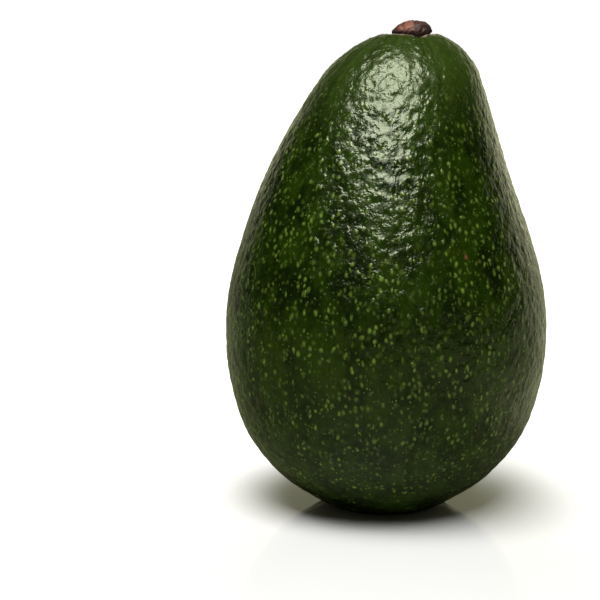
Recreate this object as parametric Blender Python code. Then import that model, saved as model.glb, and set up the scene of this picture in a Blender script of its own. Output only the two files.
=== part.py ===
"""A whole green-skinned avocado, standing on the flat spot at its blunt end, with its dried stem button.

Metres, +Z up. The origin is on the surface that the fruit stands on, under the middle of its belly.
The neck leans towards +X.
"""

import math

import bmesh
import bpy
from mathutils import Vector
from mathutils.geometry import interpolate_bezier

MM = 0.001

# The fruit's outline, from the rim of its flat spot up to the crest round the stem socket:
# height above the surface and half width there, in millimetres.
OUTLINE = [
    (0.0, 11.5),
    (1.1, 14.8),
    (3.8, 19.0),
    (9.0, 25.8),
    (18.0, 32.6),
    (28.0, 36.1),
    (39.0, 37.6),
    (52.0, 36.8),
    (66.0, 33.0),
    (80.0, 27.8),
    (92.0, 22.7),
    (102.0, 17.8),
    (107.0, 13.3),
    (109.6, 9.3),
    (110.8, 6.3),
]
CROWN_HEIGHT = OUTLINE[-1][0]
BELLY_HALF_WIDTH = max(half_width for _, half_width in OUTLINE)
DEPTH_SHARE = 0.97  # the sections are slightly flattened from front to back
OUTLINE_STEPS = 3  # rings for each stretch of the outline
SEGMENTS = 48  # points round each ring

# The neck leans away from the belly's axis above this height.
LEAN_START = 76.0
LEAN_AT_CROWN = 5.1
LEAN_POWER = 1.5

# Low, wide swellings that run from end to end: number of lobes, height in millimetres, turn in degrees.
LOBES = [(2, 0.22, 35.0), (3, 0.34, 100.0), (5, 0.16, 10.0)]

# The shallow socket that the stem button sits in: depth below the crest and radius, in millimetres.
SOCKET = [(0.15, 5.7), (0.75, 5.15), (1.2, 4.6), (1.3, 3.2)]

# The stem button: height above the socket's floor and radius, in millimetres.
BUTTON = [
    (0.0, 3.0),
    (0.0, 4.0),
    (0.8, 4.35),
    (1.7, 4.85),
    (2.5, 4.75),
    (3.3, 3.9),
    (3.9, 2.6),
    (4.15, 1.2),
]
BUTTON_GAP = 0.3
BUTTON_SEGMENTS = 28
BUTTON_DEPTH_SHARE = 0.9
BUTTON_PEAK_SHIFT = 0.5  # the dome's peak lies towards +X of the button's middle


def smooth_curve(points, steps):
    """A smooth curve through the points, with this many steps between two of them."""
    given = [Vector(point) for point in points]
    padded = [2 * given[0] - given[1], *given, 2 * given[-1] - given[-2]]
    curve = []
    for before, start, end, after in zip(padded, padded[1:], padded[2:], padded[3:]):
        leaving = start + (end - before) / 6
        arriving = end - (after - start) / 6
        curve += interpolate_bezier(start, leaving, arriving, end, steps + 1)[:-1]
    return [*curve, given[-1]]


def lean(height):
    """How far the middle of the section at this height lies towards +X."""
    share = max(0.0, height - LEAN_START) / (CROWN_HEIGHT - LEAN_START)
    return LEAN_AT_CROWN * share**LEAN_POWER


def lobes(turn, half_width):
    """How far the lobes swell a section, which fades with its size, so that both ends stay round."""
    swelling = sum(
        height * math.cos(count * (turn - math.radians(start)))
        for count, height, start in LOBES
    )
    return swelling * (half_width / BELLY_HALF_WIDTH) ** 2


def fruit_ring(height, half_width):
    """One horizontal section of the fruit, in metres."""
    ring = []
    for step in range(SEGMENTS):
        turn = math.tau * step / SEGMENTS
        radius = half_width + lobes(turn, half_width)
        x = lean(height) + radius * math.cos(turn)
        y = DEPTH_SHARE * radius * math.sin(turn)
        ring.append((x * MM, y * MM, height * MM))
    return ring


def button_ring(floor, height, radius):
    """One section of the stem button, whose dome peaks off its middle, in metres."""
    ring = []
    rise = height / BUTTON[-1][0]
    middle = lean(CROWN_HEIGHT) + BUTTON_PEAK_SHIFT * rise**2
    for step in range(BUTTON_SEGMENTS):
        turn = math.tau * step / BUTTON_SEGMENTS
        x = middle + radius * math.cos(turn)
        y = BUTTON_DEPTH_SHARE * radius * math.sin(turn)
        ring.append((x * MM, y * MM, (floor + height) * MM))
    return ring


def skinned(name, rings, material):
    """A closed solid through the rings, which are listed from the bottom up, with a flat cap at each end."""
    shape = bmesh.new()
    loops = [[shape.verts.new(point) for point in ring] for ring in rings]
    for lower, upper in zip(loops, loops[1:]):
        count = len(lower)
        for step in range(count):
            after = (step + 1) % count
            shape.faces.new((lower[step], lower[after], upper[after], upper[step]))
    shape.faces.new(reversed(loops[0]))
    shape.faces.new(loops[-1])
    bmesh.ops.triangulate(shape, faces=[face for face in shape.faces if len(face.verts) > 4])
    mesh = bpy.data.meshes.new(name)
    shape.to_mesh(mesh)
    shape.free()
    mesh.shade_smooth()
    mesh.set_sharp_from_angle(angle=math.radians(40))
    mesh.materials.append(material)
    solid = bpy.data.objects.new(name, mesh)
    bpy.context.scene.collection.objects.link(solid)
    return solid


def finish(name, colour, roughness):
    """A plain, non-metallic surface."""
    material = bpy.data.materials.new(name)
    material.use_nodes = True
    shader = material.node_tree.nodes["Principled BSDF"]
    shader.inputs["Base Color"].default_value = (*colour, 1.0)
    shader.inputs["Roughness"].default_value = roughness
    shader.inputs["Metallic"].default_value = 0.0
    return material


def fruit():
    """Skin, flesh and seed as the one piece that they grew as."""
    outer = smooth_curve(OUTLINE, OUTLINE_STEPS)
    socket = [(CROWN_HEIGHT - depth, radius) for depth, radius in SOCKET]
    rings = [fruit_ring(height, half_width) for height, half_width in [*outer, *socket]]
    return skinned("fruit", rings, finish("avocado_skin", (0.028, 0.055, 0.010), 0.3))


def stem_button():
    """The dried end of the fruit's stalk, which stays in the socket when the fruit is picked."""
    floor = CROWN_HEIGHT - SOCKET[-1][0] + BUTTON_GAP
    rings = [button_ring(floor, height, radius) for height, radius in BUTTON]
    return skinned("stem_button", rings, finish("dry_stem", (0.07, 0.025, 0.014), 0.6))


def main():
    for old in list(bpy.data.objects):
        bpy.data.objects.remove(old, do_unlink=True)
    fruit()
    stem_button()


main()
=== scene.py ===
import math

import bpy
import numpy as np
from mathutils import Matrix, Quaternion, Vector


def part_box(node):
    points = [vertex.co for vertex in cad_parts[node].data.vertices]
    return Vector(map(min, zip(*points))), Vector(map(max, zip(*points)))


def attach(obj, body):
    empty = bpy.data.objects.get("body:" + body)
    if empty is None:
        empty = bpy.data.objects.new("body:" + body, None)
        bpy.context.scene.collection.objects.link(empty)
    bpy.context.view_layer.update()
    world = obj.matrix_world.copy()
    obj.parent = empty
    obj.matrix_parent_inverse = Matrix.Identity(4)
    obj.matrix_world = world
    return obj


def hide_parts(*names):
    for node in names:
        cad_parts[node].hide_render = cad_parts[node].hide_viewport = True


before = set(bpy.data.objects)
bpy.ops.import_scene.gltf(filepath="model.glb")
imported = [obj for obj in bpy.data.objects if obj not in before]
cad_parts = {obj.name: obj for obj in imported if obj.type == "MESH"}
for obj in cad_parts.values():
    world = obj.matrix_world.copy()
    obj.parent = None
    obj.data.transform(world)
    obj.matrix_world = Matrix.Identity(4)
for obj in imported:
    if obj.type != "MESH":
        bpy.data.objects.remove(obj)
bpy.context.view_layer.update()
MM = 0.001


# ---- Fruit -------------------------------------------------------------------------------------
# Skin, flesh and seed grew as one piece, and only the skin shows. It is thin, tough and glossy,
# with a low leathery relief, and it is strewn with lenticels: corky, yellow-green breathing pores
# that stand a little proud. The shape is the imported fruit's, drawn again with a much finer mesh.

AROUND = 384
ALONG = 236
UNDERSIDE_RINGS = 14
BLOSSOM_DIMPLE = 0.35 * MM
BLOSSOM_DIMPLE_RADIUS = 3.5 * MM
SAME_POINT_DECIMALS = 7
INSIDE_CREST_SHARE = 0.99
CURVE_STEPS = 12


def packed_rings(node):
    """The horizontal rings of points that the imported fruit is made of, from its flat spot up over
    the crest and down into the socket. Each ring starts at +X and runs anticlockwise. A level that
    lost points where its faces were flat is left out."""
    points = np.array([vertex.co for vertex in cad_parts[node].data.vertices], float)
    points = np.unique(np.round(points, SAME_POINT_DECIMALS), axis=0)
    top = points[:, 2].max()
    crest = points[points[:, 2] == top]
    crest_middle = crest[:, :2].mean(0)
    crest_radius = np.linalg.norm(crest[:, :2] - crest_middle, axis=1).min()
    from_middle = np.linalg.norm(points[:, :2] - crest_middle, axis=1)
    in_socket = (from_middle < INSIDE_CREST_SHARE * crest_radius) & (points[:, 2] > top / 2)
    rings = []
    for group, step in ((points[~in_socket], 1), (points[in_socket], -1)):
        for height in np.unique(group[:, 2])[::step]:
            ring = group[group[:, 2] == height]
            if len(ring) < len(crest):
                continue
            middle = ring.mean(0)
            turn = np.arctan2(ring[:, 1] - middle[1], ring[:, 0] - middle[0])
            half_step = math.pi / len(ring)
            rings.append(ring[np.argsort((turn + half_step) % math.tau)])
    return np.array(rings)


def more_points_round(rings, count):
    """The same rings with this many points, on the smooth closed curves through the old ones."""
    waves = np.fft.rfft(rings, axis=1)
    return np.fft.irfft(waves, n=count, axis=1) * count / rings.shape[1]


def evenly_spaced_rings(rings, count):
    """This many rings at equal distances along the surface, on smooth curves through the old ones."""
    padded = np.concatenate([2 * rings[:1] - rings[1:2], rings, 2 * rings[-1:] - rings[-2:-1]])
    before, start, end, after = padded[:-3], padded[1:-2], padded[2:-1], padded[3:]
    curve = []
    for t in np.arange(CURVE_STEPS) / CURVE_STEPS:
        linear = (end - before) * t
        square = (2 * before - 5 * start + 4 * end - after) * t**2
        cubic = (3 * start - before - 3 * end + after) * t**3
        curve.append(start + (linear + square + cubic) / 2)
    curve = np.stack(curve, axis=1).reshape(-1, *rings.shape[1:])
    curve = np.concatenate([curve, rings[-1:]])
    steps = np.linalg.norm(np.diff(curve, axis=0), axis=2).mean(1)
    travelled = np.concatenate([[0.0], np.cumsum(steps)])
    wanted = np.interp(np.linspace(0, travelled[-1], count), travelled, np.arange(len(curve)))
    lower = np.minimum(wanted.astype(int), len(curve) - 2)
    share = (wanted - lower)[:, None, None]
    return curve[lower] * (1 - share) + curve[lower + 1] * share


def closed_skin(name, rings):
    """A closed mesh of quads through rings listed from the bottom up, with a point at each pole."""
    count, around = rings.shape[:2]
    first = np.arange(around)
    after = (first + 1) % around
    faces = []
    for ring in range(count - 1):
        low, high = ring * around, (ring + 1) * around
        faces += np.stack([low + first, low + after, high + after, high + first], 1).tolist()
    bottom_pole = count * around
    top_pole = bottom_pole + 1
    last = (count - 1) * around
    faces += [(int(b), int(a), bottom_pole) for a, b in zip(first, after)]
    faces += [(int(last + a), int(last + b), top_pole) for a, b in zip(first, after)]
    poles = [rings[0].mean(0), rings[-1].mean(0)]
    mesh = bpy.data.meshes.new(name)
    mesh.from_pydata([*rings.reshape(-1, 3).tolist(), *[tuple(pole) for pole in poles]], [], faces)
    mesh.shade_smooth()
    piece = bpy.data.objects.new(name, mesh)
    bpy.context.scene.collection.objects.link(piece)
    return piece


sides = evenly_spaced_rings(more_points_round(packed_rings("fruit"), AROUND), ALONG)

# The crest round the socket is uneven: it dips in front, to the right of the stem's middle.
STEM_FOOT = np.array((5.1, 0.0)) * MM
NOTCH_TURN = math.radians(-74)
NOTCH_DEPTH = 0.85 * MM
NOTCH_SPREAD = math.radians(13)
SHOULDER_SPREAD = 3 * NOTCH_SPREAD
SHOULDER_SHARE = 0.2
CREST_RADIUS = 6.0 * MM
CREST_SPREAD = 1.3 * MM
CREST_ABOVE = 100 * MM


def bell(distance, spread):
    """1 where the distance is nothing, falling smoothly to almost 0 at two spreads."""
    return np.exp(-((distance / spread) ** 2))


from_foot = sides[:, :, :2] - STEM_FOOT
turn = np.arctan2(from_foot[:, :, 1], from_foot[:, :, 0])
off_notch = (turn - NOTCH_TURN + math.pi) % math.tau - math.pi
off_crest = np.linalg.norm(from_foot, axis=2) - CREST_RADIUS
dip = (1 - SHOULDER_SHARE) * bell(off_notch, NOTCH_SPREAD)
dip += SHOULDER_SHARE * bell(off_notch, SHOULDER_SPREAD)
dip *= bell(off_crest, CREST_SPREAD) * (sides[:, :, 2] > CREST_ABOVE)
sides[:, :, 2] -= NOTCH_DEPTH * dip

# The flat spot closes the fruit below, with the blossom's shallow dimple in its middle.
spot_middle = sides[0].mean(0)
underside = []
for ring in range(UNDERSIDE_RINGS):
    share = (ring + 0.5) / UNDERSIDE_RINGS
    flat = spot_middle + (sides[0] - spot_middle) * share
    from_middle = np.linalg.norm(flat - spot_middle, axis=1)
    flat[:, 2] = BLOSSOM_DIMPLE * bell(from_middle, BLOSSOM_DIMPLE_RADIUS)
    underside.append(flat)
fruit_skin = closed_skin("fruit_skin", np.concatenate([np.array(underside), sides]))


def wire(tree, source, target):
    tree.links.new(source, target)


def put(tree, kind, inputs, **settings):
    """A node with its settings made and its inputs set: each is a value or another node's output."""
    node = tree.nodes.new(kind)
    for name, value in settings.items():
        setattr(node, name, value)
    for name, value in inputs.items():
        if isinstance(value, bpy.types.NodeSocket):
            wire(tree, value, node.inputs[name])
        else:
            node.inputs[name].default_value = value
    return node


def maths(tree, operation, first, second=0.5, third=0.5, clamp=False):
    inputs = {0: first, 1: second, 2: third}
    return put(tree, "ShaderNodeMath", inputs, operation=operation, use_clamp=clamp).outputs[0]


def vector_maths(tree, operation, *values):
    """The outputs of a node that works on places and directions: a "Vector", or a "Value"."""
    return put(tree, "ShaderNodeVectorMath", dict(enumerate(values)), operation=operation).outputs


def parts_of(tree, vector):
    """The X, Y and Z of a place, a direction or a colour."""
    return put(tree, "ShaderNodeSeparateXYZ", {"Vector": vector}).outputs


def stepped(tree, value, start, end, low=0.0, high=1.0):
    """The value's smooth passage from start to end, as a number from low to high."""
    inputs = {"Value": value, "From Min": start, "From Max": end, "To Min": low, "To Max": high}
    return put(tree, "ShaderNodeMapRange", inputs, interpolation_type="SMOOTHSTEP").outputs["Result"]


def stretched(tree, position, along):
    """The position with its height divided, which draws a pattern out along the fruit."""
    return vector_maths(tree, "MULTIPLY", position, (1.0, 1.0, 1.0 / along))["Vector"]


def noise(tree, position, size, detail=2.0, roughness=0.5):
    """Soft noise whose features are about this size, in the position's units: a value, then a colour."""
    inputs = {"Vector": position, "Scale": 1.0 / size, "Detail": detail, "Roughness": roughness}
    return put(tree, "ShaderNodeTexNoise", inputs).outputs


NOISE_MIDDLE = 0.5


def wandering(tree, position, size, amount):
    """The position pushed about by noise, so that a pattern there loses its regularity."""
    push = noise(tree, position, size)["Color"]
    centred = vector_maths(tree, "SUBTRACT", push, (NOISE_MIDDLE,) * 3)["Vector"]
    return vector_maths(tree, "MULTIPLY_ADD", centred, (amount,) * 3, position)["Vector"]


# Each layer of lenticels: distance apart, radius as a share of it, and how far they are drawn out
# upwards. The relief and the skin's finish draw them from the same position, so they fall together.
PORES = (1.25 * MM, 0.47, 1.45)
WIDE_PORES = (2.10 * MM, 0.36, 1.2)
FLECKS = (0.78 * MM, 0.34, 1.3)
LENTICEL_WANDER_SIZE = 3 * MM
LENTICEL_WANDER = 1.6 * MM


def lenticels(tree, position, layer):
    """How much of a lenticel there is at a place, and a random number that each one has."""
    spacing, radius, stretch = layer
    place = stretched(tree, position, stretch)
    place = wandering(tree, place, LENTICEL_WANDER_SIZE, LENTICEL_WANDER)
    cells = put(tree, "ShaderNodeTexVoronoi", {"Vector": place, "Scale": 1.0 / spacing})
    spot = stepped(tree, cells.outputs["Distance"], radius, 0.0)
    return spot, parts_of(tree, cells.outputs["Color"])["X"]


# Here and below, a name in _STEPS holds where a smooth passage starts and ends, and then, unless
# they are 0 and 1, the numbers that it goes from and to.
PLATE_SIZE = 2.6 * MM
PLATE_STRETCH = 1.15
CREASE_WANDER_SIZE = 2.2 * MM
CREASE_WANDER = 1.6 * MM
CREASE_PATCH_SIZE = 5 * MM
CREASE_PATCH_STEPS = (0.40, 0.58, 0.15, 1.0)


def creases(tree, position, width):
    """Where the creases between the leathery plates are. They fade in and out, so some plates join."""
    place = stretched(tree, position, PLATE_STRETCH)
    place = wandering(tree, place, CREASE_WANDER_SIZE, CREASE_WANDER)
    inputs = {"Vector": place, "Scale": 1.0 / PLATE_SIZE}
    plates = put(tree, "ShaderNodeTexVoronoi", inputs, feature="DISTANCE_TO_EDGE")
    crease = stepped(tree, plates.outputs["Distance"], width, 0.0)
    patchy = stepped(tree, noise(tree, position, CREASE_PATCH_SIZE)[0], *CREASE_PATCH_STEPS)
    return maths(tree, "MULTIPLY", crease, patchy)


def relief_tree(name, sizes):
    """A Geometry Nodes tree that moves a mesh's points along their normals, with these sizes to set."""
    tree = bpy.data.node_groups.new(name, "GeometryNodeTree")
    tree.is_modifier = True
    tree.interface.new_socket("Geometry", in_out="OUTPUT", socket_type="NodeSocketGeometry")
    tree.interface.new_socket("Geometry", in_out="INPUT", socket_type="NodeSocketGeometry")
    for size in sizes:
        tree.interface.new_socket(size, in_out="INPUT", socket_type="NodeSocketFloat")
    tree.interface.new_socket("Material", in_out="INPUT", socket_type="NodeSocketMaterial")
    given = tree.nodes.new("NodeGroupInput").outputs
    return tree, given, tree.nodes.new("GeometryNodeInputPosition").outputs[0]


def moved_out_by(tree, given, height):
    """Ends the tree: every point goes out along its normal by this height, and takes the material."""
    normal = tree.nodes.new("GeometryNodeInputNormal").outputs[0]
    offset = put(tree, "ShaderNodeVectorMath", {0: normal, "Scale": height}, operation="SCALE").outputs[0]
    moved = put(tree, "GeometryNodeSetPosition", {"Geometry": given["Geometry"], "Offset": offset})
    real = put(tree, "GeometryNodeRealizeInstances", {"Geometry": moved.outputs[0]})
    inputs = {"Geometry": real.outputs[0], "Material": given["Material"]}
    dressed = put(tree, "GeometryNodeSetMaterial", inputs)
    wire(tree, dressed.outputs[0], tree.nodes.new("NodeGroupOutput").inputs[0])


# Geometry Nodes give the mesh its relief: wide swellings, plates parted by creases, rounded pimples
# and lenticels. All of it fades out just above the flat spot, which stays flat.
RELIEF_SIZES = {
    "Inset": 0.12 * MM,
    "Swelling Height": 0.22 * MM,
    "Crease Depth": 0.03 * MM,
    "Pimple Height": 0.15 * MM,
    "Lenticel Height": 0.06 * MM,
    "Flat Below": 0.9 * MM,
}
SWELLING_SIZE = 4.5 * MM
SWELLING_LEVEL = 0.62
CREASE_WIDTH = 0.26
PIMPLE_SIZE = 1.9 * MM
PIMPLE_STEPS = (0.36, 0.62, -0.6, 0.4)
FLAT_UP_TO = 0.05 * MM

relief, given, position = relief_tree("skin relief", RELIEF_SIZES)
swelling = noise(relief, position, SWELLING_SIZE, detail=1.0)[0]
swelling = maths(relief, "SUBTRACT", swelling, SWELLING_LEVEL)
height = maths(relief, "MULTIPLY", swelling, given["Swelling Height"])
crease = maths(relief, "MULTIPLY", creases(relief, position, CREASE_WIDTH), given["Crease Depth"])
height = maths(relief, "SUBTRACT", height, crease)
pimples = stepped(relief, noise(relief, position, PIMPLE_SIZE)[0], *PIMPLE_STEPS)
height = maths(relief, "MULTIPLY_ADD", pimples, given["Pimple Height"], height)
for layer in (PORES, WIDE_PORES):
    spot, strength = lenticels(relief, position, layer)
    raised = maths(relief, "MULTIPLY", spot, strength)
    height = maths(relief, "MULTIPLY_ADD", raised, given["Lenticel Height"], height)
height = maths(relief, "SUBTRACT", height, given["Inset"])
above_spot = stepped(relief, parts_of(relief, position)["Z"], FLAT_UP_TO, given["Flat Below"])
moved_out_by(relief, given, maths(relief, "MULTIPLY", height, above_spot))


def made_plain(piece):
    """Leaves the piece as its modifiers make it, in a plain mesh of its own."""
    bpy.context.view_layer.update()
    evaluated = piece.evaluated_get(bpy.context.evaluated_depsgraph_get())
    mesh = bpy.data.meshes.new_from_object(evaluated)
    piece.modifiers.clear()
    old = piece.data
    piece.data = mesh
    mesh.name = piece.name
    bpy.data.meshes.remove(old)


def shaped_by(piece, tree, values):
    """Runs a Geometry Nodes tree on a piece with these values for its named inputs."""
    modifier = piece.modifiers.new(tree.name, "NODES")
    modifier.node_group = tree
    sockets = {item.name: item.identifier for item in tree.interface.items_tree if item.in_out == "INPUT"}
    for name, value in values.items():
        modifier[sockets[name]] = value
    made_plain(piece)


# Mottling, which the skin and the dried stem both have.
mottling = bpy.data.node_groups.new("mottling", "ShaderNodeTree")
mottling.interface.new_socket("Share", in_out="OUTPUT", socket_type="NodeSocketFloat")
mottling.interface.new_socket("Position", in_out="INPUT", socket_type="NodeSocketVector")
for name in ("Size", "From", "To"):
    mottling.interface.new_socket(name, in_out="INPUT", socket_type="NodeSocketFloat")
asked = mottling.nodes.new("NodeGroupInput").outputs
per_metre = maths(mottling, "DIVIDE", 1.0, asked["Size"])
inputs = {"Vector": asked["Position"], "Scale": per_metre, "Detail": 4.0, "Roughness": 0.6}
cloud = put(mottling, "ShaderNodeTexNoise", inputs).outputs[0]
share = stepped(mottling, cloud, asked["From"], asked["To"])
wire(mottling, share, mottling.nodes.new("NodeGroupOutput").inputs[0])


def mottled(tree, position, size, start, end):
    """The share of the second colour in a mottling whose features are about this size."""
    inputs = {"Position": position, "Size": size, "From": start, "To": end}
    return put(tree, "ShaderNodeGroup", inputs, node_tree=mottling).outputs[0]


def blended(tree, share, first, second):
    """Two colours, each a socket or a triple, mixed by this share of the second."""
    node = tree.nodes.new("ShaderNodeMix")
    node.data_type = "RGBA"
    slots = [socket for socket in node.inputs if socket.enabled]
    for socket, value in zip(slots, (share, first, second)):
        if isinstance(value, bpy.types.NodeSocket):
            wire(tree, value, socket)
        else:
            socket.default_value = (*value, 1.0)
    return [socket for socket in node.outputs if socket.enabled][0]


def bumped(tree, height, distance, under=None):
    """The normals of a surface that stands out by this height, over the normals of a bump under it."""
    inputs = {"Height": height, "Distance": distance}
    if under is not None:
        inputs["Normal"] = under
    return put(tree, "ShaderNodeBump", inputs).outputs[0]


def finish_started(name):
    """A new material, its node tree, its shader, and the position on the piece that it reads."""
    material = bpy.data.materials.new(name)
    material.use_nodes = True
    tree = material.node_tree
    position = tree.nodes.new("ShaderNodeTexCoord").outputs["Object"]
    return material, tree, tree.nodes["Principled BSDF"], position


# Skin finish: dark green and glossy, yellower towards the stem, mottled, with paler lenticels.
DEEP_GREEN = (0.0012, 0.0036, 0.0001)
MID_GREEN = (0.0050, 0.0120, 0.0001)
NECK_GREEN = (0.0130, 0.0240, 0.0022)
LENTICEL_GREEN = (0.062, 0.100, 0.014)
OLIVE = (0.024, 0.036, 0.004)
RIM_BROWN = (0.110, 0.085, 0.060)
SCAR_BROWN = (0.055, 0.022, 0.010)
MOTTLE_SIZE = 6 * MM
MOTTLE_STRETCH = 1.4
MOTTLE_STEPS = (0.36, 0.64)

skin_finish, tree, shader, position = finish_started("avocado skin")
up = parts_of(tree, position)["Z"]
place = stretched(tree, position, MOTTLE_STRETCH)
colour = blended(tree, mottled(tree, place, MOTTLE_SIZE, *MOTTLE_STEPS), DEEP_GREEN, MID_GREEN)

# Towards the stem the skin is smoother, lighter and streaked outwards from the socket.
NECK_STEPS = (84 * MM, 109 * MM)
STREAKS_ROUND = 7.0
STREAK_STEPS = (0.3, 0.7, 0.45, 1.0)
seen_from_above = vector_maths(tree, "MULTIPLY", position, (1.0, 1.0, 0.0))["Vector"]
from_stem = vector_maths(tree, "SUBTRACT", seen_from_above, (*STEM_FOOT, 0.0))["Vector"]
outwards = vector_maths(tree, "NORMALIZE", from_stem)["Vector"]
reach = vector_maths(tree, "LENGTH", from_stem)["Value"]
streaks = noise(tree, outwards, 1.0 / STREAKS_ROUND, detail=3.0)[0]
neck = stepped(tree, up, *NECK_STEPS)
streaked = maths(tree, "MULTIPLY", neck, stepped(tree, streaks, *STREAK_STEPS))
colour = blended(tree, streaked, colour, NECK_GREEN)

# Lenticels lie in loose clusters, and they fade towards both ends. Each layer has its colour and
# the strength of its weakest one, and those whose strength is below 0 don't show.
NECK_FADE_STEPS = (107 * MM, 84 * MM, 0.06, 1.0)
BASE_FADE_STEPS = (0.0, 14 * MM, 0.5, 1.0)
CLUSTER_SIZE = 7 * MM
CLUSTER_STEPS = (0.34, 0.60, 0.45, 1.0)
LENTICEL_LAYERS = [
    (WIDE_PORES, OLIVE, 0.1),
    (PORES, LENTICEL_GREEN, 0.0),
    (FLECKS, LENTICEL_GREEN, -1.4),
]
fade = maths(tree, "MULTIPLY", stepped(tree, up, *NECK_FADE_STEPS), stepped(tree, up, *BASE_FADE_STEPS))
clusters = stepped(tree, noise(tree, position, CLUSTER_SIZE, detail=3.0)[0], *CLUSTER_STEPS)
fade = maths(tree, "MULTIPLY", fade, clusters)
spots = {}
for layer, paint, weakest in LENTICEL_LAYERS:
    spots[layer], strength = lenticels(tree, position, layer)
    strength = stepped(tree, strength, 0.0, 1.0, weakest, 1.0)
    shown = maths(tree, "MULTIPLY", spots[layer], strength, clamp=True)
    colour = blended(tree, maths(tree, "MULTIPLY", shown, fade), colour, paint)

# Corky scars: the blossom's under the fruit, as a place and a radius, then small ones on its sides,
# as height, turn from +X in degrees, and radius, in millimetres.
BLOSSOM_SCAR = ((0.0, 0.0, 0.2 * MM), 2.6 * MM)
SCARS = [(63.5, -62, 0.65), (57.0, 140, 0.9), (38.0, 35, 0.7)]
SCAR_WANDER_SIZE = 0.9 * MM
SCAR_WANDER = 0.8 * MM
SCAR_CORE_SHARE = 0.4
marks = [BLOSSOM_SCAR]
level = sides[:, :, 2].mean(1)
for scar_height, scar_turn, scar_radius in SCARS:
    ring = sides[np.abs(level - scar_height * MM).argmin()]
    on_skin = ring[round(scar_turn / 360 * AROUND) % AROUND]
    marks.append((tuple(float(part) for part in on_skin), scar_radius * MM))
uneven = wandering(tree, position, SCAR_WANDER_SIZE, SCAR_WANDER)
for middle, radius in marks:
    off = vector_maths(tree, "DISTANCE", uneven, middle)["Value"]
    colour = blended(tree, stepped(tree, off, radius, SCAR_CORE_SHARE * radius), colour, SCAR_BROWN)

# A pale, ragged corky rim lies round the socket.
RAG_SIZE = 1.2 * MM
RAG = 1.6 * MM
RIM_STEPS = (7.0 * MM, 6.2 * MM)
RIM_HEIGHT_STEPS = (100 * MM, 105 * MM)
ragged = noise(tree, position, RAG_SIZE, detail=3.0)[0]
edge = maths(tree, "MULTIPLY_ADD", ragged, RAG, maths(tree, "SUBTRACT", reach, RAG / 2))
rim = maths(tree, "MULTIPLY", stepped(tree, edge, *RIM_STEPS), stepped(tree, up, *RIM_HEIGHT_STEPS))
colour = blended(tree, rim, colour, RIM_BROWN)
wire(tree, colour, shader.inputs["Base Color"])

# A fine grain and small rounded pimples break up its gloss, which is duller towards the stem.
GRAIN_SIZE = 0.55 * MM
GRAIN_BUMP = 0.036 * MM
GLOSS_STEPS = (0.3, 0.7, 0.17, 0.27)
DULL_NECK_STEPS = (86 * MM, 104 * MM, 0.0, 0.07)
SMALL_PIMPLE_SIZE = 2.5 * MM
SMALL_PIMPLE_STRETCH = 1.1
SMALL_PIMPLE_STEPS = (0.38, 0.58)
SMALL_PIMPLE_BUMP = 0.085 * MM
PORE_BUMP = 0.075 * MM
SKIN_IOR = 1.40
SKIN_GLINT = (0.92, 1.0, 0.70)
grain = noise(tree, position, GRAIN_SIZE, detail=3.0, roughness=0.6)[0]
duller = stepped(tree, up, *DULL_NECK_STEPS)
roughness = maths(tree, "ADD", stepped(tree, grain, *GLOSS_STEPS), duller)
wire(tree, roughness, shader.inputs["Roughness"])
place = stretched(tree, position, SMALL_PIMPLE_STRETCH)
pimples = noise(tree, place, SMALL_PIMPLE_SIZE, detail=3.0, roughness=0.55)[0]
normals = bumped(tree, grain, GRAIN_BUMP)
normals = bumped(tree, stepped(tree, pimples, *SMALL_PIMPLE_STEPS), SMALL_PIMPLE_BUMP, normals)
normals = bumped(tree, spots[PORES], PORE_BUMP, normals)
wire(tree, normals, shader.inputs["Normal"])
shader.inputs["IOR"].default_value = SKIN_IOR
shader.inputs["Specular Tint"].default_value = (*SKIN_GLINT, 1.0)

shaped_by(fruit_skin, relief, {**RELIEF_SIZES, "Material": skin_finish})
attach(fruit_skin, "root")
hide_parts("fruit")


# ---- Stem button -------------------------------------------------------------------------------
# The end of the stalk that stayed in the socket when the fruit was picked, dried to a dark,
# reddish-brown woody cap. It is a low, lumpy dome, steeper towards +X, with an orange-brown patch that is
# partly a painted highlight.

STEM_AROUND = 192
STEM_ALONG = 110
STEM_MIDDLE = 5.45 * MM
STEM_DEPTH_SHARE = 0.9
STEM_PEAK_SHIFT = 0.9 * MM
# Height above the socket's floor and radius, in millimetres, from the middle of the foot to the peak.
STEM_PROFILE = [
    (0.0, 0.6),
    (0.0, 2.2),
    (0.0, 3.7),
    (0.5, 4.25),
    (1.0, 4.50),
    (1.5, 4.62),
    (2.0, 4.50),
    (2.5, 4.25),
    (3.0, 3.75),
    (3.4, 3.0),
    (3.7, 2.05),
    (3.86, 1.0),
    (3.94, 0.35),
]
stem_floor = float(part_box("stem_button")[0][2])
around = np.arange(STEM_AROUND) * math.tau / STEM_AROUND
rings = []
for height, radius in STEM_PROFILE:
    rise = height / STEM_PROFILE[-1][0]
    x = STEM_MIDDLE + STEM_PEAK_SHIFT * rise**2 + radius * MM * np.cos(around)
    y = STEM_DEPTH_SHARE * radius * MM * np.sin(around)
    rings.append(np.stack([x, y, np.full(STEM_AROUND, stem_floor + height * MM)], 1))
rings = evenly_spaced_rings(np.array(rings), STEM_ALONG)

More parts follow.
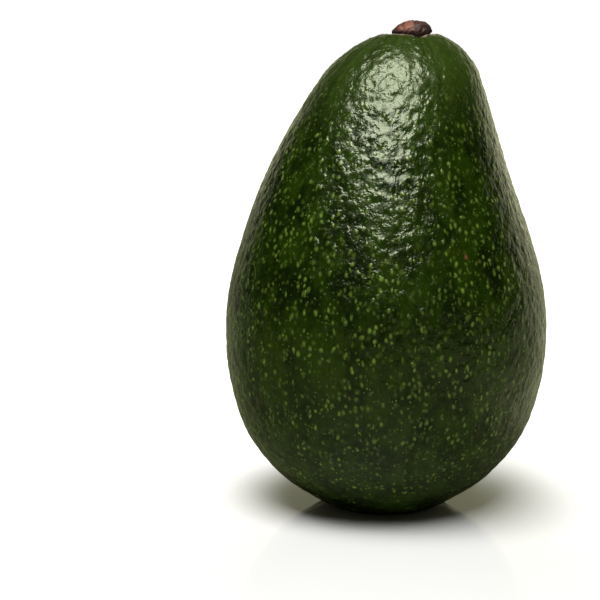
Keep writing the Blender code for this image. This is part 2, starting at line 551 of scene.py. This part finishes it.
# It thins out to a wedge on the left, and a flake of bark stands off it on the right.
WEDGE_FROM = 3.6 * MM
WEDGE_TO = 0.9 * MM
WEDGE_ABOVE = 1.0 * MM
WEDGE_THINNING = 0.30
FLAKE = np.array((9.9 * MM, -1.2 * MM, stem_floor + 1.45 * MM))
FLAKE_LENGTH = 0.50 * MM
FLAKE_SIZE = 0.55 * MM
thinning = np.clip((WEDGE_FROM - rings[:, :, 0]) / (WEDGE_FROM - WEDGE_TO), 0, 1)
above_foot = np.maximum(rings[:, :, 2] - stem_floor - WEDGE_ABOVE, 0)
rings[:, :, 2] -= above_foot * WEDGE_THINNING * thinning
rings[:, :, 0] += FLAKE_LENGTH * bell(np.linalg.norm(rings - FLAKE, axis=2), FLAKE_SIZE)
stem_cap = closed_skin("stem_cap", rings)

FOLD_SIZE = 3.0 * MM
FOLD_WANDER_SIZE = 2.4 * MM
FOLD_WANDER = 2.6 * MM


def folds(tree, position, width):
    """Where the grooves between the stem's dried folds are."""
    place = wandering(tree, position, FOLD_WANDER_SIZE, FOLD_WANDER)
    inputs = {"Vector": place, "Scale": 1.0 / FOLD_SIZE}
    cells = put(tree, "ShaderNodeTexVoronoi", inputs, feature="DISTANCE_TO_EDGE")
    return stepped(tree, cells.outputs["Distance"], width, 0.0)


# Its relief: lumps, grooves between the folds, and a grain. It fades out at the foot.
STEM_SIZES = {
    "Inset": 0.02 * MM,
    "Lump Height": 0.75 * MM,
    "Fold Depth": 0.22 * MM,
    "Grain Height": 0.12 * MM,
}
LUMP_SIZE = 2.2 * MM
FOLD_WIDTH = 0.20
STEM_GRAIN_SIZE = 0.5 * MM
FOOT_STEPS = (stem_floor + 0.02 * MM, stem_floor + 0.6 * MM)
relief, given, position = relief_tree("stem relief", STEM_SIZES)
lumps = maths(relief, "SUBTRACT", noise(relief, position, LUMP_SIZE)[0], NOISE_MIDDLE)
height = maths(relief, "MULTIPLY", lumps, given["Lump Height"])
groove = maths(relief, "MULTIPLY", folds(relief, position, FOLD_WIDTH), given["Fold Depth"])
height = maths(relief, "SUBTRACT", height, groove)
grain = maths(relief, "SUBTRACT", noise(relief, position, STEM_GRAIN_SIZE)[0], NOISE_MIDDLE)
height = maths(relief, "MULTIPLY_ADD", grain, given["Grain Height"], height)
height = maths(relief, "SUBTRACT", height, given["Inset"])
off_floor = stepped(relief, parts_of(relief, position)["Z"], *FOOT_STEPS)
moved_out_by(relief, given, maths(relief, "MULTIPLY", height, off_floor))

# Stem finish: reddish brown, with painted shade in its grooves, low down and towards +X, away from the
# lamp, and with the orange patch, partly its own colour and partly a painted highlight.
STEM_PAINTED_SHADE = (0.008, 0.0025, 0.0016)
STEM_RED = (0.048, 0.014, 0.007)
STEM_PURPLE = (0.020, 0.006, 0.006)
STEM_ORANGE_AND_HIGHLIGHT = (0.094, 0.028, 0.012)
STEM_MOTTLE_SIZE = 1.1 * MM
STEM_MOTTLE_STEPS = (0.40, 0.62)
# The orange patch on the stem's upper front left, partly its own colour and partly a painted highlight.
ORANGE_HIGHLIGHT_MIDDLE = (4.3 * MM, -2.6 * MM, 112.3 * MM)
ORANGE_HIGHLIGHT_STEPS = (2.6 * MM, 1.2 * MM)
ORANGE_HIGHLIGHT_WANDER_SIZE = 1.6 * MM
ORANGE_HIGHLIGHT_WANDER = 2.4 * MM
# Painted shade: the stem is darkened towards +X, away from the lamp, at its foot and in its grooves.
PAINTED_SHADE_SIDE_STEPS = (7.0 * MM, 9.6 * MM, 0.0, 0.9)
PAINTED_SHADE_FOOT_STEPS = (111.9 * MM, 110.9 * MM, 0.0, 0.75)
PAINTED_SHADE_FOLD_WIDTH = 0.13
PAINTED_SHADE_FOLD_SHARE = 0.7
FIBRE_SIZE = 0.35 * MM
FIBRE_STRETCH = 0.5
FIBRE_BUMP = 0.05 * MM
STEM_ROUGHNESS = 0.60
STEM_IOR = 1.36
stem_finish, tree, shader, position = finish_started("dry stem")
apart = parts_of(tree, position)
mottle = mottled(tree, position, STEM_MOTTLE_SIZE, *STEM_MOTTLE_STEPS)
colour = blended(tree, mottle, STEM_PURPLE, STEM_RED)
# The orange patch, partly the stem's colour and partly a painted highlight.
wander = wandering(tree, position, ORANGE_HIGHLIGHT_WANDER_SIZE, ORANGE_HIGHLIGHT_WANDER)
from_orange_highlight = vector_maths(tree, "DISTANCE", wander, ORANGE_HIGHLIGHT_MIDDLE)["Value"]
colour = blended(tree, stepped(tree, from_orange_highlight, *ORANGE_HIGHLIGHT_STEPS), colour, STEM_ORANGE_AND_HIGHLIGHT)
# Painted shade on the side towards +X, at the foot and in the grooves.
shaded_side = stepped(tree, apart["X"], *PAINTED_SHADE_SIDE_STEPS)
shaded_foot = stepped(tree, apart["Z"], *PAINTED_SHADE_FOOT_STEPS)
shaded_folds = maths(tree, "MULTIPLY", folds(tree, position, PAINTED_SHADE_FOLD_WIDTH), PAINTED_SHADE_FOLD_SHARE)
painted_shade = maths(tree, "MAXIMUM", maths(tree, "MAXIMUM", shaded_side, shaded_foot), shaded_folds)
wire(tree, blended(tree, painted_shade, colour, STEM_PAINTED_SHADE), shader.inputs["Base Color"])
place = stretched(tree, position, FIBRE_STRETCH)
fibres = noise(tree, place, FIBRE_SIZE, detail=3.0, roughness=0.65)[0]
wire(tree, bumped(tree, fibres, FIBRE_BUMP), shader.inputs["Normal"])
shader.inputs["Roughness"].default_value = STEM_ROUGHNESS
shader.inputs["IOR"].default_value = STEM_IOR

shaped_by(stem_cap, relief, {**STEM_SIZES, "Material": stem_finish})
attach(stem_cap, "root")
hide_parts("stem_button")


# ---- Table, light and camera -------------------------------------------------------------------
# A glossy white table that mirrors the fruit, a white backdrop behind it, and one large soft lamp
# above and in front.

HALF_TABLE = 4.0
CORNERS = ((-1, -1), (1, -1), (1, 1), (-1, 1))
table_mesh = bpy.data.meshes.new("table")
table_mesh.from_pydata([(x * HALF_TABLE, y * HALF_TABLE, 0) for x, y in CORNERS], [], [(0, 1, 2, 3)])
table = bpy.data.objects.new("table", table_mesh)
bpy.context.scene.collection.objects.link(table)

# Each kind of ray finds the table as bright as a lit white sheet would leave it there: what the
# camera sees, what the skin's gloss mirrors, and what lights the fruit from below.
TABLE_SEEN = (0.47, 0.47, 0.462)
TABLE_IN_GLOSS = (0.10, 0.115, 0.05)
TABLE_AS_LIGHT = (0.85, 0.85, 0.80)
TABLE_ROUGHNESS = 0.5
TABLE_ROUGHNESS_SEEN = 0.04
white_gloss, tree, shader, place = finish_started("white gloss")
ray = put(tree, "ShaderNodeLightPath", {}).outputs
colour = blended(tree, ray["Is Diffuse Ray"], TABLE_IN_GLOSS, TABLE_AS_LIGHT)
colour = blended(tree, ray["Is Camera Ray"], colour, TABLE_SEEN)
wire(tree, colour, shader.inputs["Base Color"])
roughness = stepped(tree, ray["Is Camera Ray"], 0.0, 1.0, TABLE_ROUGHNESS, TABLE_ROUGHNESS_SEEN)
wire(tree, roughness, shader.inputs["Roughness"])

# The table glows: white to the camera, away from the fruit's shadow, and cream in the skin's gloss,
# behind the fruit and on its right.
BLACK = (0.0, 0.0, 0.0)
WHITE = (1.0, 1.0, 1.0)
CREAM = (1.0, 0.99, 0.66)
SHADOW_MIDDLE = (0.0, -60 * MM, 0.0)
OUT_OF_SHADOW_STEPS = (30 * MM, 140 * MM)
CLEAR_OF_FRUIT_STEPS = (20 * MM, 48 * MM)
BACK_STEPS = (10 * MM, 160 * MM)
RIGHTWARDS_STEPS = (-150 * MM, 150 * MM, 0.20, 0.55)
BESIDE_STEPS = (45 * MM, 85 * MM, 0.0, 0.46)
FAR_RIGHT_STEPS = (90 * MM, 180 * MM, 1.0, 0.5)
GLOW_STRENGTH = 0.9
from_shadow = vector_maths(tree, "DISTANCE", place, SHADOW_MIDDLE)["Value"]
from_fruit = vector_maths(tree, "LENGTH", place)["Value"]
glow = stepped(tree, from_shadow, *OUT_OF_SHADOW_STEPS)
glow = maths(tree, "MULTIPLY", glow, stepped(tree, from_fruit, *CLEAR_OF_FRUIT_STEPS))
glow = maths(tree, "MULTIPLY", glow, ray["Is Camera Ray"])
glow = blended(tree, glow, BLACK, WHITE)
apart = parts_of(tree, place)
behind_fruit = stepped(tree, apart["Y"], *BACK_STEPS)
behind_fruit = maths(tree, "MULTIPLY", behind_fruit, stepped(tree, apart["X"], *RIGHTWARDS_STEPS))
beside = stepped(tree, apart["X"], *BESIDE_STEPS)
beside = maths(tree, "MULTIPLY", beside, stepped(tree, apart["X"], *FAR_RIGHT_STEPS))
in_gloss = maths(tree, "MAXIMUM", behind_fruit, beside)
in_gloss = maths(tree, "MULTIPLY", in_gloss, ray["Is Glossy Ray"])
wire(tree, blended(tree, in_gloss, glow, CREAM), shader.inputs["Emission Color"])
shader.inputs["Emission Strength"].default_value = GLOW_STRENGTH
table_mesh.materials.append(white_gloss)

FRUIT_MIDDLE = Vector((0.0, 0.0, 49 * MM))


def soft_lamp(name, azimuth, elevation, roll, distance, width, height, radiance):
    """A rectangular lamp that faces the fruit. Azimuth 0 is the camera's side, and +90 is +X."""
    lamp = bpy.data.lights.new(name, "AREA")
    lamp.shape = "RECTANGLE"
    lamp.size = width
    lamp.size_y = height
    lamp.energy = radiance * math.pi * width * height
    holder = bpy.data.objects.new(name, lamp)
    turn, rise = math.radians(azimuth), math.radians(elevation)
    direction = Vector((math.sin(turn) * math.cos(rise), -math.cos(turn) * math.cos(rise), math.sin(rise)))
    holder.location = FRUIT_MIDDLE + direction * distance
    facing = direction.to_track_quat("Z", "Y") @ Quaternion((0, 0, 1), math.radians(roll))
    holder.rotation_euler = facing.to_euler()
    bpy.context.scene.collection.objects.link(holder)


soft_lamp(
    "key",
    azimuth=-15,
    elevation=63,
    roll=-32,
    distance=0.60,
    width=0.52,
    height=0.32,
    radiance=21.5,
)

# The backdrop lights the fruit from behind, most of all straight behind it and on its right. Its
# light falls off upwards, and the room is almost dark elsewhere. The camera sees it plain white. The
# fruit gets it cream, with a little more of it in the skin's own colour than in its gloss.
BACKDROP_TURN = math.radians(10)
RIGHT_TURN = math.radians(36)
BEHIND_STEPS = (0.45, 0.75, 0.0, 0.45)
STRAIGHT_BEHIND_STEPS = (0.80, 0.94, 0.0, 0.45)
RIGHT_STEPS = (0.80, 0.95, 0.0, 0.42)
BACKDROP_TOP_STEPS = (0.62, 0.05)
ROOM_LIGHT = 0.012
DIFFUSE_LIGHT = 0.10
BACKDROP_SEEN = 1.02


def heading(turn):
    """The level direction that lies this far to the right of straight behind the fruit."""
    return (math.sin(turn), math.cos(turn), 0.0)


world = bpy.data.worlds.new("studio")
bpy.context.scene.world = world
world.use_nodes = True
sky = world.node_tree
sky.nodes.clear()
direction = sky.nodes.new("ShaderNodeTexCoord").outputs["Generated"]
facing_back = vector_maths(sky, "DOT_PRODUCT", direction, heading(BACKDROP_TURN))["Value"]
facing_right = vector_maths(sky, "DOT_PRODUCT", direction, heading(RIGHT_TURN))["Value"]
behind = stepped(sky, facing_back, *BEHIND_STEPS)
behind = maths(sky, "ADD", behind, stepped(sky, facing_right, *RIGHT_STEPS))
behind = maths(sky, "ADD", behind, stepped(sky, facing_back, *STRAIGHT_BEHIND_STEPS))
low_down = stepped(sky, parts_of(sky, direction)["Z"], *BACKDROP_TOP_STEPS)
radiance = maths(sky, "ADD", maths(sky, "MULTIPLY", behind, low_down), ROOM_LIGHT)
ray = put(sky, "ShaderNodeLightPath", {}).outputs
radiance = maths(sky, "MULTIPLY_ADD", ray["Is Diffuse Ray"], DIFFUSE_LIGHT, radiance)
seen = maths(sky, "MULTIPLY", ray["Is Camera Ray"], BACKDROP_SEEN)
radiance = maths(sky, "MAXIMUM", radiance, seen)
tint = blended(sky, ray["Is Camera Ray"], CREAM, WHITE)
light = put(sky, "ShaderNodeBackground", {"Color": tint, "Strength": radiance})
wire(sky, light.outputs[0], sky.nodes.new("ShaderNodeOutputWorld").inputs["Surface"])

bpy.context.scene.view_settings.view_transform = "Standard"

CAMERA_DISTANCE = 352.9 * MM
CAMERA_RISE = math.radians(10)
CAMERA_AIM = Vector((-19.9 * MM, 0.0, 49 * MM))
CAMERA_LENS = 90
CAMERA_SENSOR = 36
CAMERA_NEAREST = 10 * MM
lens = bpy.data.cameras.new("camera")
lens.lens = CAMERA_LENS
lens.sensor_width = CAMERA_SENSOR
lens.clip_start = CAMERA_NEAREST
camera = bpy.data.objects.new("camera", lens)
back = Vector((0, -math.cos(CAMERA_RISE), math.sin(CAMERA_RISE)))
camera.location = CAMERA_AIM + back * CAMERA_DISTANCE
camera.rotation_euler = (math.pi / 2 - CAMERA_RISE, 0, 0)
bpy.context.scene.collection.objects.link(camera)
bpy.context.scene.camera = camera
